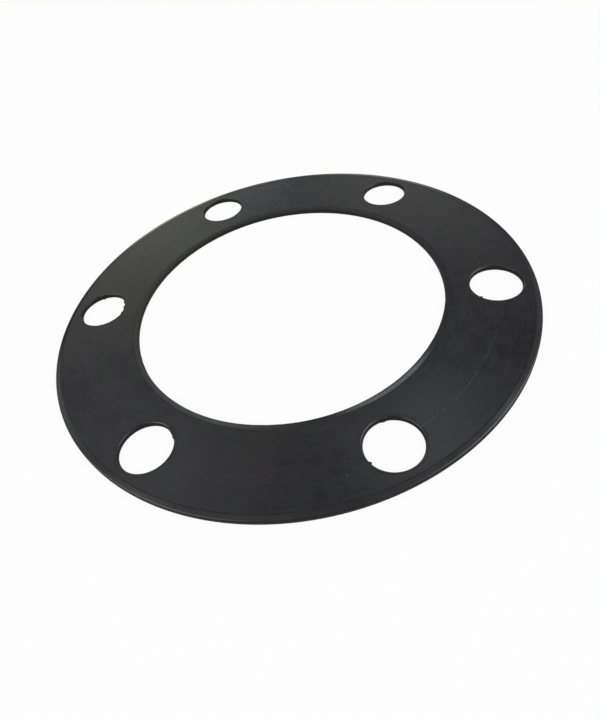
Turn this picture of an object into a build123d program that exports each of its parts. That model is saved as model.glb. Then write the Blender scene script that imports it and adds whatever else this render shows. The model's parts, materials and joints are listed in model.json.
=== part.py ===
from build123d import *
import os

# Rubber flange gasket: a flat full-face ring with a wide bore and one row of bolt holes.
# Sizes are in millimetres. The ring lies on its plain underside, which is z = 0. +Z runs up
# through the bore's centre, and +X runs from there through the middle of bolt hole 0. The
# other holes follow anticlockwise, seen from above.

# Ring
BORE_DIA = 115.0              # slips over a 4 inch pipe, 114.3 outside
BORE_TO_BOLT_LINE = 17.5      # bore wall to the circle through the bolt hole centres
BOLT_LINE_TO_RIM = 13.5       # the same circle to the outer rim
THICKNESS = 2.0               # between the two sealing faces

# Bolt holes
BOLT_HOLE_COUNT = 6
BOLT_HOLE_DIA = 18.0          # clears an M16 bolt
HOLE_LIP = 0.2                # slant that the punch leaves round each hole, on both faces

# Flash: rubber that a worn punch left standing in a hole, as (hole, bearing in degrees from
# +X about the hole's centre, how far it reaches in from the wall)
FLAT_FLASH = ((3, 15, 0.4), (4, 35, 0.4))
TOOTH_FLASH = ((0, 229, 0.4), (3, 112, 0.25), (5, 222, 0.35))

# Top edges: the sealing face falls away in a shallow bevel before the wall is cut square
RIM_BEVEL_WIDTH = 2.0
RIM_BEVEL_DROP = 0.3
BORE_BEVEL_WIDTH = 2.0
BORE_BEVEL_DROP = 0.3
BEVEL_CREASE_ROUND = 4.0      # soft turn from the sealing face into a bevel
RIM_SHOULDER_ROUND = 0.5      # top corner of the rim wall
BORE_SHOULDER_ROUND = 0.25    # top corner of the bore wall
FOOT_SLANT = 0.2              # lower corners of both walls

bore_radius = BORE_DIA / 2
bolt_line_radius = bore_radius + BORE_TO_BOLT_LINE
rim_radius = bolt_line_radius + BOLT_LINE_TO_RIM
hole_radius = BOLT_HOLE_DIA / 2


def ring_section():
    """Half section of the ring: X is the distance from the bore's axis and Y the height."""
    outline = Polyline(
        (bore_radius, 0),
        (rim_radius, 0),
        (rim_radius, THICKNESS - RIM_BEVEL_DROP),
        (rim_radius - RIM_BEVEL_WIDTH, THICKNESS),
        (bore_radius + BORE_BEVEL_WIDTH, THICKNESS),
        (bore_radius, THICKNESS - BORE_BEVEL_DROP),
        close=True,
    )
    section = make_face(outline)
    section = fillet(section.vertices().group_by(Axis.Y)[-1], BEVEL_CREASE_ROUND)
    section = chamfer(section.vertices().group_by(Axis.Y)[0], FOOT_SLANT)
    rim_shoulder = section.vertices().group_by(Axis.X)[-1].sort_by(Axis.Y)[-1]
    section = fillet(rim_shoulder, RIM_SHOULDER_ROUND)
    bore_shoulder = section.vertices().group_by(Axis.X)[0].sort_by(Axis.Y)[-1]
    return fillet(bore_shoulder, BORE_SHOULDER_ROUND)


def plain_ring():
    """The ring before it is punched."""
    return revolve(Plane.XZ * ring_section(), Axis.Z)


def bolt_hole_punch(hole):
    """What the punch takes out at one hole, about the hole's own centre."""
    punch = Cylinder(hole_radius, 3 * THICKNESS)
    for flash_hole, bearing, reach in FLAT_FLASH:
        if flash_hole == hole:
            beyond = Pos(2 * hole_radius - reach, 0) * Box(
                2 * hole_radius, 2 * hole_radius, 4 * THICKNESS)
            punch -= Rot(Z=bearing) * beyond
    for flash_hole, bearing, reach in TOOTH_FLASH:
        if flash_hole == hole:
            punch -= Rot(Z=bearing) * Pos(hole_radius, 0) * Cylinder(reach, 4 * THICKNESS)
    slant = Cone(hole_radius, hole_radius + 2 * HOLE_LIP, 2 * HOLE_LIP)
    top_slant = Pos(0, 0, THICKNESS) * slant
    under_slant = Rot(X=180) * slant
    return punch + top_slant + under_slant


def flange_gasket():
    gasket = plain_ring()
    centres = PolarLocations(bolt_line_radius, BOLT_HOLE_COUNT, rotate=False)
    for hole, centre in enumerate(centres):
        gasket -= centre * bolt_hole_punch(hole)
    return gasket


os.makedirs("parts", exist_ok=True)
export_step(flange_gasket(), "parts/flange_gasket.step")
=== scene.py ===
import bpy
import json
from math import atan2, cos, degrees, hypot, pi, radians, sin, tan
from mathutils import Matrix, Vector


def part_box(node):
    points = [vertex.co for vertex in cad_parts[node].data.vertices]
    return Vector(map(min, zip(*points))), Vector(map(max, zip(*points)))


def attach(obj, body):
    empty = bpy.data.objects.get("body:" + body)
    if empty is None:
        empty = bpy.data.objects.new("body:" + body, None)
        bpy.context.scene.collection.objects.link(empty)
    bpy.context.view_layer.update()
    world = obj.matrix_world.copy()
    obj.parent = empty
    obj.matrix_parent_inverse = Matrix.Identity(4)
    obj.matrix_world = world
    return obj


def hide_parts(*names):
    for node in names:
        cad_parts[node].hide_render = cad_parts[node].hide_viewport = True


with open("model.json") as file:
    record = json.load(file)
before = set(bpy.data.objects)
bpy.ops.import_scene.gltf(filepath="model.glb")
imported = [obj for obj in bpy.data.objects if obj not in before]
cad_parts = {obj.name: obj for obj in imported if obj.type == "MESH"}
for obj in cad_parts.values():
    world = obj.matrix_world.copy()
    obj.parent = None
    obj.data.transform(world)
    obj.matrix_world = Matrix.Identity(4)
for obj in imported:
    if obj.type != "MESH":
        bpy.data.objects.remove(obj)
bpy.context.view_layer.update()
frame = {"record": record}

# A black rubber flange gasket, lying on a pale studio floor. Mesh sizes are written in
# millimetres and turned into metres as each mesh is made. Angles on the ring count from +X,
# anticlockwise from above, and bolt holes are numbered the same way, from 0 on +X.
MM = 0.001

# ---------------------------------------------------------------------------------------
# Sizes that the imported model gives
# ---------------------------------------------------------------------------------------
mounts = {mount["name"]: mount for mount in frame["record"]["mounts"]}
ring_low, ring_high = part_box("flange_gasket")
RIM_RADIUS = round((ring_high[0] - ring_low[0]) / 2 / MM, 1)
THICKNESS = (ring_high[2] - ring_low[2]) / MM
BORE_RADIUS = mounts["pipe_bore"]["dims"]["r_mm"]
BOLT_LINE_RADIUS = mounts["bolt_holes"]["dims"]["pcd_mm"] / 2
HOLE_RADIUS = mounts["bolt_holes"]["dims"]["hole_r_mm"]
HOLE_COUNT = mounts["bolt_holes"]["dims"]["count"]

# ---------------------------------------------------------------------------------------
# Edges of the section
# ---------------------------------------------------------------------------------------
BEVEL_WIDTH = 2.0            # shallow fall of the top face towards the rim and the bore
BEVEL_DROP = 0.3
CREASE_ROUND = 4.0           # radius of the soft turn into a bevel
RIM_SHOULDER_ROUND = 0.5     # radius of the rim wall's top corner
BORE_SHOULDER_ROUND = 0.25   # the same at the bore
FOOT_SLANT = 0.2             # slant of the lower corners
RIM_BEAD = 0.04              # height of the faint bead just inside the rim's bevel
RIM_BEAD_WIDTH = 0.9         # how far in from the bevel the bead starts to rise

# Lip of a bolt hole, as (distance out from the hole's radius, height over the face): the
# punch pushed up a faint ridge and rolled the edge inside it down
HOLE_LIP = ((1.1, 0), (0.8, 0.01), (0.6, 0.03), (0.47, 0.035), (0.37, 0.015), (0.24, -0.05),
            (0.12, -0.135), (0.04, -0.24), (-0.03, -0.36))
# The rest of its wall, as (distance out, height over the underside): a waist where the rubber
# closed in behind the punch, over a foot that flares out
HOLE_WALL = ((-0.12, 1.35), (-0.2, 1.08), (-0.23, 0.8), (-0.18, 0.52), (-0.04, 0.25), (0.3, 0))

# Fineness of the mesh
SHARE_STEPS = (120, 26, 68)  # rays from a bolt hole to its share's rim arc, side and bore arc
CREASE_STEPS, SHOULDER_STEPS, BEAD_STEPS = 4, 6, 6
# Rows of points, as parts of the way down a bevel and from a hole's lip to the share's outline
BEVEL_STEPS = (0.08, 0.5, 0.92)
PLATE_STEPS = (0.04, 0.1, 0.19, 0.3, 0.42, 0.55, 0.68, 0.8, 0.89, 0.95, 1)
WELD_DISTANCE = 0.002        # points of neighbouring shares that are nearer become one

# ---------------------------------------------------------------------------------------
# Wear and torn flash
# ---------------------------------------------------------------------------------------
# Stretches where the bore's bevel is pressed down further: middle angle on the ring, half
# the angle that it covers, both in degrees, and how far the bore's edge is down
PRESSED_BORE = ((-43, 44, 0.64),)
PRESSED_OUT = 0.8            # how far that squeezes the edge into the bore, for each mm down
# Rubber left standing in a bolt hole: the hole, the middle direction about its centre and
# half the angle that it covers, in degrees, and how far it reaches in
FLASH = ((3, 12, 42, 0.42), (3, -16, 3.5, 0.4), (3, 6, 3.5, 0.4), (3, 29, 4, 0.35),
         (3, 112, 4, 0.45), (4, 35, 21, 0.25), (4, 27, 4, 0.2), (0, 229, 3.5, 0.6),
         (5, 222, 3.5, 0.45), (5, 108, 8, 0.25))
FLASH_PULL = 2.0             # how far out from the hole's wall the flash draws the lip along


def arc(centre, radius, start, end, steps):
    """Points on an arc in the section, from one angle to another, in degrees."""
    angles = [radians(start + (end - start) * step / steps) for step in range(steps + 1)]
    return [(centre[0] + radius * cos(a), centre[1] + radius * sin(a)) for a in angles]


def smooth_step(value):
    """0 up to 0, 1 from 1 on, and a smooth rise between."""
    value = min(max(value, 0), 1)
    return value * value * (3 - 2 * value)


def edge_profile(shoulder_round, bead=0):
    """Section of the rim or the bore, as (distance in from the wall, height), from the top
    face over the bevel and down the wall to the underside."""
    slope = degrees(atan2(BEVEL_DROP + bead, BEVEL_WIDTH))
    half_crease = CREASE_ROUND * tan(radians(slope) / 2)
    crease = arc((BEVEL_WIDTH + half_crease, THICKNESS + bead - CREASE_ROUND), CREASE_ROUND,
                 90, 90 + slope, CREASE_STEPS)
    reach = shoulder_round * tan(radians(90 - slope) / 2)
    shoulder = arc((shoulder_round, THICKNESS - BEVEL_DROP - reach), shoulder_round,
                   90 + slope, 180, SHOULDER_STEPS)
    fall = [tuple(a + (b - a) * step for a, b in zip(crease[-1], shoulder[0]))
            for step in BEVEL_STEPS]
    rise = []
    if bead:
        for step in range(BEAD_STEPS):
            inward = crease[0][0] + RIM_BEAD_WIDTH * (1 - step / BEAD_STEPS)
            rise.append((inward, THICKNESS + bead * smooth_step(step / BEAD_STEPS)))
    return rise + crease + fall + shoulder + [(0, FOOT_SLANT), (FOOT_SLANT, 0)]


def share_mesh():
    """One bolt hole's share of the ring: a slice centred on +X, with its hole in the middle,
    and open only where it meets the next share. Its points lie on rays from the hole."""
    half = pi / HOLE_COUNT
    verts, faces = [], []

    def grid(rows):
        """Adds a grid of points, given as equally long rows, and its quads."""
        base, width = len(verts), len(rows[0])
        for row in rows:
            verts.extend(Vector(point) * MM for point in row)
        for i in range(len(rows) - 1):
            for j in range(width - 1):
                a = base + i * width + j
                faces.append((a, a + width, a + width + 1, a + 1))

    def on_ring(radius, angle):
        return radius * cos(angle), radius * sin(angle)

    rim_edge = edge_profile(RIM_SHOULDER_ROUND, RIM_BEAD)
    bore_edge = edge_profile(BORE_SHOULDER_ROUND)
    outer, inner = RIM_RADIUS - rim_edge[0][0], BORE_RADIUS + bore_edge[0][0]
    corner_out = Vector(on_ring(outer, half)) - Vector((BOLT_LINE_RADIUS, 0))
    corner_in = Vector(on_ring(inner, half)) - Vector((BOLT_LINE_RADIUS, 0))
    bearing_out, bearing_in = atan2(corner_out.y, corner_out.x), atan2(corner_in.y, corner_in.x)

    def spread(start, end, steps):
        return [start + (end - start) * step / steps for step in range(steps)]

    def ray_to_circle(bearing, radius):
        """Ring angle where a ray from the hole's centre meets a circle about the bore."""
        c = BOLT_LINE_RADIUS * cos(bearing)
        length = -c + (c * c - BOLT_LINE_RADIUS ** 2 + radius ** 2) ** 0.5 * (
            1 if radius > BOLT_LINE_RADIUS else -1)
        return atan2(length * sin(bearing), BOLT_LINE_RADIUS + length * cos(bearing))

    rim_steps, side_steps, bore_steps = SHARE_STEPS
    rim_rays = spread(-bearing_out, bearing_out, rim_steps)
    side_rays = spread(bearing_out, bearing_in, side_steps)
    bore_rays = spread(bearing_in, 2 * pi - bearing_in, bore_steps)
    back_rays = [2 * pi - ray for ray in side_rays[1:] + [bearing_in]][::-1]
    rim_angles = [-half] + [ray_to_circle(ray, outer) for ray in rim_rays[1:]] + [half]
    bore_angles = [half] + [ray_to_circle(ray, inner) for ray in bore_rays[1:]] + [-half]
    bearings = rim_rays + side_rays + bore_rays + back_rays + [2 * pi - bearing_out]

    def outline(outer_radius, inner_radius, height):
        """Closed loop round a flat face of the share."""
        def side(rays, angle):
            points = []
            for ray in rays:
                length = BOLT_LINE_RADIUS * sin(angle) / sin(ray - angle)
                points.append((BOLT_LINE_RADIUS + length * cos(ray), length * sin(ray), height))
            return points

        rim = [(*on_ring(outer_radius, angle), height) for angle in rim_angles]
        bore = [(*on_ring(inner_radius, angle), height) for angle in bore_angles]
        left = side(side_rays[1:], half)
        right = side(back_rays[1:], -half)
        return rim + left + bore + right + rim[:1]

    grid([[(*on_ring(RIM_RADIUS - inward, angle), height) for angle in rim_angles]
          for inward, height in rim_edge])
    grid([[(*on_ring(BORE_RADIUS + inward, angle), height) for angle in bore_angles]
          for inward, height in bore_edge])

    def hole_ring(outward, height):
        radius = HOLE_RADIUS + outward
        return [(BOLT_LINE_RADIUS + radius * cos(ray), radius * sin(ray), height)
                for ray in bearings]

    def between(ring, loop):
        return [[tuple(r + (p - r) * step for r, p in zip(ring_point, loop_point))
                 for ring_point, loop_point in zip(ring, loop)] for step in PLATE_STEPS]

    top_loop = outline(outer, inner, THICKNESS)
    under_loop = outline(RIM_RADIUS - rim_edge[-1][0], BORE_RADIUS + bore_edge[-1][0], 0)
    lip = [hole_ring(outward, THICKNESS + height) for outward, height in HOLE_LIP]
    wall = [hole_ring(outward, height) for outward, height in HOLE_WALL]
    grid((between(lip[0], top_loop)[::-1] + lip + wall + between(wall[-1], under_loop))[::-1])
    mesh = bpy.data.meshes.new("bolt_share")
    mesh.from_pydata(verts, [], faces)
    return mesh


def hump(distance, half_width):
    """1 in the middle, falling smoothly to 0 at the half width."""
    return smooth_step(1 - abs(distance) / half_width)


def wear(mesh):
    """Presses the bore's edge down where it is worn, and draws torn flash into the holes."""
    half_slope = atan2(BEVEL_DROP, BEVEL_WIDTH) / 2
    bevel_start = BORE_RADIUS + BEVEL_WIDTH + CREASE_ROUND * tan(half_slope)
    wall_foot = FOOT_SLANT * 1.5
    middles = []
    for hole in range(HOLE_COUNT):
        angle = 2 * pi * hole / HOLE_COUNT
        middles.append((BOLT_LINE_RADIUS * cos(angle), BOLT_LINE_RADIUS * sin(angle)))
    for vertex in mesh.vertices:
        x, y, z = vertex.co / MM
        radius, angle = hypot(x, y), degrees(atan2(y, x))
        if radius < bevel_start and z > wall_foot:
            down = sum(drop * hump(angle - middle, spread)
                       for middle, spread, drop in PRESSED_BORE)
            down *= (bevel_start - radius) / (bevel_start - BORE_RADIUS)
            z -= down
            x -= x / radius * down * PRESSED_OUT
            y -= y / radius * down * PRESSED_OUT
        for hole, direction, spread, reach in FLASH:
            out_x, out_y = x - middles[hole][0], y - middles[hole][1]
            length = hypot(out_x, out_y)
            if length > HOLE_RADIUS + FLASH_PULL:
                continue
            turn = (degrees(atan2(out_y, out_x)) - direction + 180) % 360 - 180
            pull = reach * hump(turn, spread)
            pull *= 1 - smooth_step((length - HOLE_RADIUS) / FLASH_PULL)
            x -= out_x / length * pull
            y -= out_y / length * pull
        vertex.co = Vector((x, y, z)) * MM


# ---------------------------------------------------------------------------------------
# Node trees
# ---------------------------------------------------------------------------------------
class Value:
    """A socket in a node tree. Arithmetic on it adds Math nodes."""

    def __init__(self, web, socket):
        self.web = web
        self.socket = socket

    def output(self, name):
        """Another output of the same node."""
        return Value(self.web, self.socket.node.outputs[name])

    def math(self, operation, *others):
        return self.web.add("ShaderNodeMath", {"operation": operation},
                            dict(enumerate((self, *others))))

    def __add__(self, other):
        return self.math("ADD", other)

    def __radd__(self, other):
        return self.math("ADD", other)

    def __sub__(self, other):
        return self.math("SUBTRACT", other)

    def __rsub__(self, other):
        return self.web.add("ShaderNodeMath", {"operation": "SUBTRACT"}, {0: other, 1: self})

    def __mul__(self, other):
        return self.math("MULTIPLY", other)

    def __truediv__(self, other):
        return self.math("DIVIDE", other)

    def __rtruediv__(self, other):
        return self.web.add("ShaderNodeMath", {"operation": "DIVIDE"}, {0: other, 1: self})

    def __abs__(self):
        return self.math("ABSOLUTE")

    def above(self, low, high):
        """0 below low, 1 above high, and a smooth rise between."""
        return self.web.add("ShaderNodeMapRange", {"interpolation_type": "SMOOTHSTEP"},
                            {"Value": self, "From Min": low, "From Max": high})

    def below(self, low, high):
        """1 below low, 0 above high, and a smooth fall between."""
        return 1 - self.above(low, high)


class Web:
    """A node tree, filled one node at a time."""

    def __init__(self, tree):
        self.tree = tree
        tree.nodes.clear()

    def add(self, kind, settings=None, inputs=None, output=0):
        """Adds a node: its settings first, then the values or links of its sockets."""
        node = self.tree.nodes.new(kind)
        for key, value in (settings or {}).items():
            if key == "stops":
                self.set_stops(node.color_ramp, value)
            else:
                setattr(node, key, value)
        for key, value in (inputs or {}).items():
            if isinstance(value, Value):
                self.tree.links.new(value.socket, node.inputs[key])
            else:
                node.inputs[key].default_value = value
        return Value(self, node.outputs[output]) if node.outputs else None

    def set_stops(self, ramp, stops):
        """Fills a colour ramp with grey levels, as (position, level)."""
        for position, level in stops[2:]:
            ramp.elements.new(position)
        for element, (position, level) in zip(ramp.elements, stops):
            element.position = position
            element.color = (level, level, level, 1)

    def mix(self, factor, first, second):
        """Colour between two colours."""
        return self.add("ShaderNodeMix", {"data_type": "RGBA"},
                        {0: factor, 6: first, 7: second}, 2)

    def noise(self, place, size, detail=2.0, roughness=0.5):
        """Noise between 0 and 1, whose blotches are about as large as size."""
        return self.add("ShaderNodeTexNoise", None, {
            "Vector": place, "Scale": 1 / size, "Detail": detail, "Roughness": roughness})


def new_material(name):
    """Material with an empty node tree, and the web that fills the tree."""
    material = bpy.data.materials.new(name)
    material.use_nodes = True
    return material, Web(material.node_tree)


def ring_from_shares(share, material):
    """Repeats the share round the bore with Geometry Nodes and welds the copies into one
    closed ring."""
    tree = bpy.data.node_groups.new("ring_from_shares", "GeometryNodeTree")
    web = Web(tree)
    tree.interface.new_socket("Geometry", in_out="INPUT", socket_type="NodeSocketGeometry")
    tree.interface.new_socket("Geometry", in_out="OUTPUT", socket_type="NodeSocketGeometry")
    count = tree.interface.new_socket("Share count", in_out="INPUT", socket_type="NodeSocketInt")
    weld = tree.interface.new_socket("Weld distance", in_out="INPUT",
                                     socket_type="NodeSocketFloat")
    given = web.add("NodeGroupInput", output="Geometry")
    shares = given.output("Share count")
    turn = web.add("GeometryNodeInputIndex") * (2 * pi / shares)
    seats = web.add("GeometryNodeMeshLine", None, {"Count": shares, "Offset": (0, 0, 0)})
    copies = web.add("GeometryNodeInstanceOnPoints", None, {
        "Points": seats, "Instance": given,
        "Rotation": web.add("ShaderNodeCombineXYZ", None, {"Z": turn})})
    ring = web.add("GeometryNodeRealizeInstances", None, {"Geometry": copies})
    ring = web.add("GeometryNodeMergeByDistance", None, {
        "Geometry": ring, "Distance": given.output("Weld distance")})
    ring = web.add("GeometryNodeSetShadeSmooth", None, {"Geometry": ring})
    ring = web.add("GeometryNodeSetMaterial", None, {"Geometry": ring, "Material": material})
    web.add("NodeGroupOutput", None, {"Geometry": ring})

    builder = bpy.data.objects.new("ring_builder", share)
    bpy.context.scene.collection.objects.link(builder)
    modifier = builder.modifiers.new("ring", "NODES")
    modifier.node_group = tree
    modifier[count.identifier] = HOLE_COUNT
    modifier[weld.identifier] = WELD_DISTANCE * MM
    evaluated = builder.evaluated_get(bpy.context.evaluated_depsgraph_get())
    mesh = bpy.data.meshes.new_from_object(evaluated)
    bpy.data.objects.remove(builder)
    return mesh


# ---------------------------------------------------------------------------------------
# Materials
# ---------------------------------------------------------------------------------------
# Colours of the rubber, linear
VIOLET_BLACK = (0.006, 0.0046, 0.0082, 1)
VIOLET_GREY = (0.02, 0.0144, 0.0262, 1)
PLAIN_GREY = (0.0172, 0.0169, 0.0176, 1)
GRAIN_GREY = (0.028, 0.026, 0.031, 1)
# Pale grey of the dust, scratches and scribed circle, and of the circle's painted highlight
MARK_AND_GLINT_GREY = (0.17, 0.17, 0.165, 1)
CUT_BLACK = (0.0148, 0.0145, 0.0148, 1)
SKIN_ROUGHNESS, SKIN_SHINE = 0.27, 0.65
CUT_ROUGHNESS, CUT_SHINE = 0.8, 0.25
BEVEL_POLISH = 0.09          # how much less rough the bevels are than the face
UNEVEN_POLISH = 0.1          # how far the clouds, mottle and streaks change the roughness
SKIN_END = 0.2               # how far out from a wall the skin ends, for each mm down it

# Blotches of the skin's noises, and the streaks round the bore
CLOUD_SIZE, MOTTLE_SIZE, GRAIN_SIZE, BLOOM_SIZE = 24, 3.6, 0.55, 6
STREAKS_PER_RADIAN, STREAKS_PER_MM = 7, 1.3

DUST_SPACING = 5
# Fine scratches: lay in radians, length over width, and the size of the scratched patches
SCRATCHES = ((0.5, 45, 31), (2.1, 38, 27))
SCRATCH_WIDTH = 9            # blotch size of the noise whose middle level draws the scratches
# Painted highlight on the scribed circle: middle ring angle, full half width and end, in degrees
SCRIBE_GLINT_MIDDLE, SCRIBE_GLINT_CLEAR, SCRIBE_GLINT_END = -38, 10, 26


def black_rubber():
    """Moulded black rubber with a satin skin, which the punch and the knife cut through to
    dull rubber at the walls. Clouded, streaked round the bore, lightly scratched and dusty,
    with the bevels a little more polished than the face."""
    material, web = new_material("black_rubber")
    metres = web.add("ShaderNodeTexCoord", output="Object")
    place = web.add("ShaderNodeVectorMath", {"operation": "SCALE"}, {0: metres, "Scale": 1 / MM})
    x = web.add("ShaderNodeSeparateXYZ", None, {0: place})
    y = x.output("Y")
    radius = (x * x + y * y).math("SQRT")
    turn = y.math("ARCTAN2", x)

    # How far a point is from the nearest wall: the ring is folded onto one bolt hole's share.
    # The skin rolls over the edges and ends a little way down them, and the wider shoulder at
    # the rim stretches that out.
    folded = turn.math("WRAP", pi / HOLE_COUNT, -pi / HOLE_COUNT)
    along = radius * folded.math("COSINE") - BOLT_LINE_RADIUS
    across = radius * folded.math("SINE")
    from_hole = (along * along + across * across).math("SQRT") - HOLE_RADIUS
    rim_share = BORE_SHOULDER_ROUND / RIM_SHOULDER_ROUND
    from_wall = (radius - BORE_RADIUS).math("MINIMUM", (RIM_RADIUS - radius) * rim_share)
    from_wall = from_wall.math("MINIMUM", from_hole)
    depth = THICKNESS - x.output("Z")
    skin = (from_wall - depth * SKIN_END).above(0, 0.06)

    # Streaks that run round the bore, from noise that is long along the ring and fine across
    round_bore = web.add("ShaderNodeCombineXYZ", None, {
        "X": x / radius * STREAKS_PER_RADIAN, "Y": y / radius * STREAKS_PER_RADIAN,
        "Z": radius * STREAKS_PER_MM})
    streaks = web.noise(round_bore, 1.0, 4.0, 0.7)
    clouds = web.noise(place, CLOUD_SIZE, 2.0, 0.5)
    mottle = web.noise(place, MOTTLE_SIZE, 3.0, 0.45)
    grain = web.noise(place, GRAIN_SIZE, 2.0, 0.6)
    bloom = web.noise(place, BLOOM_SIZE, 2.0, 0.5)

    # Pale marks: dust specks, fine scratches and the circle scribed along the bolt line
    cells = web.add("ShaderNodeTexVoronoi", None, {
        "Vector": place, "Scale": 1 / DUST_SPACING})
    chance = web.add("ShaderNodeSeparateColor", None, {0: cells.output("Color")})
    dust = (cells * DUST_SPACING).below(0.12, 0.3) * chance.above(0.72, 0.9)
    marks_and_glint = dust * 0.5
    for angle, stretch, patch in SCRATCHES:
        lay = web.add("ShaderNodeMapping", None, {
            "Vector": place, "Rotation": (0, 0, angle), "Scale": (1 / stretch, 1, 1)})
        ridge = abs(web.noise(lay, SCRATCH_WIDTH, 0.0) - 0.5)
        scratched = web.noise(place, patch, 1.0).above(0.58, 0.68)
        marks_and_glint = marks_and_glint + ridge.below(0.002, 0.006) * scratched * 0.06
    scribed = abs(radius - BOLT_LINE_RADIUS).below(0.06, 0.22) * mottle.above(0.3, 0.55)
    # Painted highlight: the scribed circle is much paler in one sector, where it catches light
    scribe_glint = abs(turn - radians(SCRIBE_GLINT_MIDDLE)).below(radians(SCRIBE_GLINT_CLEAR), radians(SCRIBE_GLINT_END))
    on_top = depth.below(0.5, 1)
    marks_and_glint = marks_and_glint + scribed * (0.02 + scribe_glint * 0.22) * on_top

    shade = clouds * 0.25 + mottle * 0.3 + streaks * 0.45
    light = web.mix(bloom.above(0.35, 0.65), VIOLET_GREY, PLAIN_GREY)
    colour = web.mix(shade.above(0.3, 0.7), VIOLET_BLACK, light)
    colour = web.mix(grain.above(0.3, 0.75) * 0.26, colour, GRAIN_GREY)
    colour = web.mix(marks_and_glint, colour, MARK_AND_GLINT_GREY)
    from_edge = (radius - BORE_RADIUS).math("MINIMUM", RIM_RADIUS - radius)
    bevels = from_edge.below(BEVEL_WIDTH - 0.1, BEVEL_WIDTH + 0.4)
    uneven = clouds + mottle + streaks - 1.5
    satin = SKIN_ROUGHNESS - bevels * BEVEL_POLISH + uneven * UNEVEN_POLISH

    # Unevenness of the skin, in millimetres
    height = clouds * 0.03 + mottle * 0.014 + streaks * 0.009 + grain * 0.007 + marks_and_glint * 0.004
    bump = web.add("ShaderNodeBump", None, {"Strength": 1.0, "Distance": MM, "Height": height})
    moulded = web.add("ShaderNodeBsdfPrincipled", None, {
        "Base Color": colour, "Roughness": satin, "Normal": bump,
        "Specular IOR Level": SKIN_SHINE})
    cut = web.add("ShaderNodeBsdfPrincipled", None, {
        "Base Color": CUT_BLACK, "Roughness": CUT_ROUGHNESS, "Normal": bump,
        "Specular IOR Level": CUT_SHINE})
    surface = web.add("ShaderNodeMixShader", None, {0: skin, 1: cut, 2: moulded})
    web.add("ShaderNodeOutputMaterial", None, {"Surface": surface})
    return material


def studio_floor():
    """Pale floor that reads as white to the camera and still takes a little of the gasket's
    shadow."""
    material, web = new_material("studio_floor")
    paint = web.add("ShaderNodeBsdfDiffuse", None, {"Color": (0.9, 0.9, 0.9, 1)})
    glow = web.add("ShaderNodeEmission", None, {"Color": (1, 1, 1, 1), "Strength": 1.0})
    to_camera = web.add("ShaderNodeLightPath", output="Is Camera Ray")
    seen = to_camera.math("MAXIMUM", to_camera.output("Is Glossy Ray"))
    seen = seen.math("MAXIMUM", to_camera.output("Is Transmission Ray"))
    surface = web.add("ShaderNodeMixShader", None, {
        0: seen * FLOOR_WHITE, 1: paint, 2: glow})
    web.add("ShaderNodeOutputMaterial", None, {"Surface": surface})
    return material


# ---------------------------------------------------------------------------------------
# Stage
# ---------------------------------------------------------------------------------------
FLOOR_SIZE = 6.0             # metres
FLOOR_GAP = 0.02             # how far the floor lies under the gasket, in millimetres
FLOOR_WHITE = 0.93           # how much of the floor is plain white to the camera

# The camera stands in front of the ring, a little to its right, and is tipped over sideways.
# Places are in rim radii from the bore's axis, at the height of the top face.
CAMERA_PLACE = (0.4382, -1.6405, 1.4328)
CAMERA_AIM = (0.0893, -0.3603, 0.0)
CAMERA_ROLL = -13.96         # degrees
CAMERA_LENS, CAMERA_SENSOR = 26.03, 36   # focal length and sensor width
CAMERA_CLIP = 0.01           # metres
BEHIND = atan2(-CAMERA_PLACE[1], -CAMERA_PLACE[0])   # way from the camera over the ring

# Surroundings. Directions are given as seen from the ring: azimuth to the left of straight
# behind it and elevation, in degrees. Brightness is in whites.
# Walls, as (sine of the elevation, brightness)
SKY = ((0, 0.42), (0.08, 0.36), (0.2, 0.2), (0.35, 0.16), (0.5, 0.17), (0.7, 0.11),
       (0.87, 0.085), (1, 0.33))
WARM, OLIVE, PLAIN = (0.98, 1.03, 0.62), (0.94, 1.01, 0.86), (0.95, 1.0, 0.92)
SILVER, COOL, CYAN = (0.87, 0.98, 1.0), (0.9, 0.95, 1.04), (0.8, 0.99, 1.04)
# Soft panels: azimuth, elevation, half width, half height, border, brightness, colour. One
# with a brightness under 0 is a black flag, which takes light away.
PANELS = (
    (19, 30, 13, 9, 8, 0.46, OLIVE),
    (13, 14, 6, 8, 5, 1.3, WARM),
    (35, 17, 8, 7, 5, -0.14, PLAIN),
    (-19, 29, 12, 9, 8, 0.38, PLAIN),
    (-18, 12, 8, 5, 5, 0.8, PLAIN),
    (0, 21, 3, 3.5, 3, 2.1, SILVER),
    (0, 53, 12, 9, 8, 0.12, PLAIN),
    (5.5, 45, 4.5, 4.5, 5, 0.4, WARM),
    (6.1, 37, 2.2, 2.2, 2.5, 1.7, SILVER),
    (-3.5, 44.5, 3.5, 3.5, 4, 0.35, PLAIN),
    (15, 54, 5, 4, 5, 0.55, PLAIN),
    (30, 52, 8, 5, 6, 1.1, COOL),
    (-21.5, 58.5, 6.5, 5, 6, 2.3, CYAN),
    (45, 33, 7, 8, 6, 0.45, OLIVE),
    (-45, 33, 7, 8, 6, 0.12, PLAIN),
    (88, 48, 40, 35, 12, 0.3, PLAIN),
    (-88, 48, 40, 35, 12, 0.3, COOL),
    (-125, 40, 45, 14, 10, 1.1, PLAIN),
)
# Two square lamps that light the ring from its sides: their names and azimuths, then the
# elevation, the distance and width in metres, and how bright the lamp's own face is
LAMP_AZIMUTHS = (("side_right", -104), ("side_left", 104))
LAMP_ELEVATION, LAMP_DISTANCE, LAMP_SIZE, LAMP_BRIGHTNESS = 38, 1.5, 1.3, 1.6


def add_floor():
    half = FLOOR_SIZE / 2
    mesh = bpy.data.meshes.new("floor")
    mesh.from_pydata([(-half, -half, 0), (half, -half, 0), (half, half, 0), (-half, half, 0)],
                     [], [(0, 1, 2, 3)])
    mesh.materials.append(studio_floor())
    floor = bpy.data.objects.new("floor", mesh)
    floor.location.z = -FLOOR_GAP * MM
    bpy.context.scene.collection.objects.link(floor)


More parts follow.
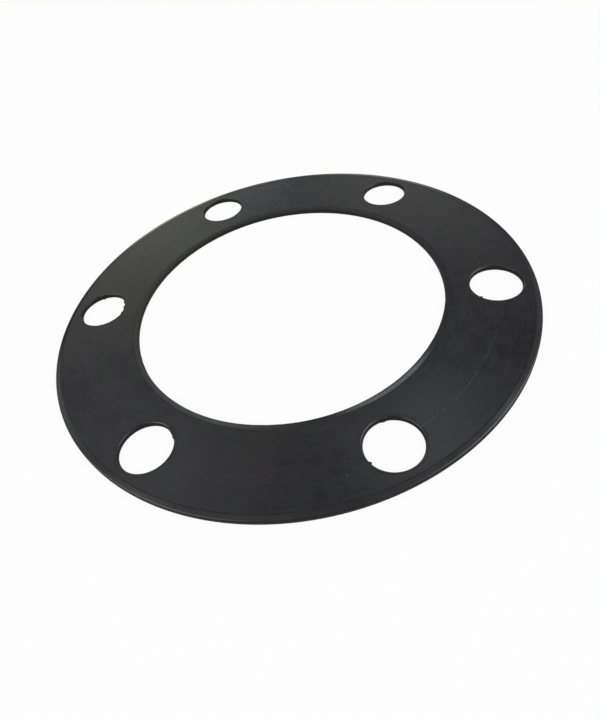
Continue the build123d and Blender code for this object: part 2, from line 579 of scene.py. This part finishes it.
def add_softbox(name, azimuth):
    """Square area lamp, aimed at the gasket."""
    lamp = bpy.data.lights.new(name, "AREA")
    lamp.size = LAMP_SIZE
    lamp.energy = LAMP_BRIGHTNESS * pi * LAMP_SIZE * LAMP_SIZE
    lamp.color = PLAIN
    box = bpy.data.objects.new(name, lamp)
    turn, rise = BEHIND + radians(azimuth), radians(LAMP_ELEVATION)
    place = Vector((cos(turn) * cos(rise), sin(turn) * cos(rise), sin(rise))) * LAMP_DISTANCE
    box.location = place
    box.rotation_euler = (-place).to_track_quat("-Z", "Y").to_euler()
    bpy.context.scene.collection.objects.link(box)


def add_surroundings():
    """Pale studio walls with soft panels of light, and plain white where the camera sees it."""
    world = bpy.data.worlds.new("studio")
    world.use_nodes = True
    bpy.context.scene.world = world
    web = Web(world.node_tree)
    x = web.add("ShaderNodeSeparateXYZ", None, {
        0: web.add("ShaderNodeTexCoord", output="Generated")})
    y, z = x.output("Y"), x.output("Z")
    behind = x * cos(BEHIND) + y * sin(BEHIND)
    left = y * cos(BEHIND) - x * sin(BEHIND)
    azimuth = left.math("ARCTAN2", behind) * degrees(1)
    elevation = z.math("ARCSINE") * degrees(1)
    light = web.add("ShaderNodeValToRGB", {"stops": SKY}, {0: z})
    for middle, height, half_width, half_height, border, strength, colour in PANELS:
        inside = abs(azimuth - middle).below(half_width - border / 2, half_width + border / 2)
        inside = inside * abs(elevation - height).below(half_height - border / 2,
                                                        half_height + border / 2)
        light = web.add("ShaderNodeVectorMath", {"operation": "MULTIPLY_ADD"}, {
            0: inside, 1: tuple(strength * part for part in colour), 2: light})
    seen = web.add("ShaderNodeLightPath", output="Is Camera Ray")
    air = web.add("ShaderNodeBackground", None, {"Color": web.mix(seen, light, (1, 1, 1, 1))})
    web.add("ShaderNodeOutputWorld", None, {"Surface": air})


def add_camera():
    data = bpy.data.cameras.new("camera")
    data.lens = CAMERA_LENS
    data.sensor_width = CAMERA_SENSOR
    data.clip_start = CAMERA_CLIP
    camera = bpy.data.objects.new("camera", data)
    top = Vector((0, 0, THICKNESS * MM))
    place = Vector(CAMERA_PLACE) * RIM_RADIUS * MM + top
    aim = Vector(CAMERA_AIM) * RIM_RADIUS * MM + top
    look = (aim - place).to_track_quat("-Z", "Y").to_matrix().to_4x4()
    camera.matrix_world = Matrix.Translation(place) @ look @ Matrix.Rotation(
        radians(CAMERA_ROLL), 4, "Z")
    bpy.context.scene.collection.objects.link(camera)
    bpy.context.scene.camera = camera


# ---------------------------------------------------------------------------------------
# Build
# ---------------------------------------------------------------------------------------
ring = ring_from_shares(share_mesh(), black_rubber())
wear(ring)
gasket = bpy.data.objects.new("gasket", ring)
bpy.context.scene.collection.objects.link(gasket)
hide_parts("flange_gasket")
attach(gasket, "root")

add_floor()
add_surroundings()
for lamp_name, lamp_azimuth in LAMP_AZIMUTHS:
    add_softbox(lamp_name, lamp_azimuth)
add_camera()
bpy.context.scene.view_settings.view_transform = "Standard"
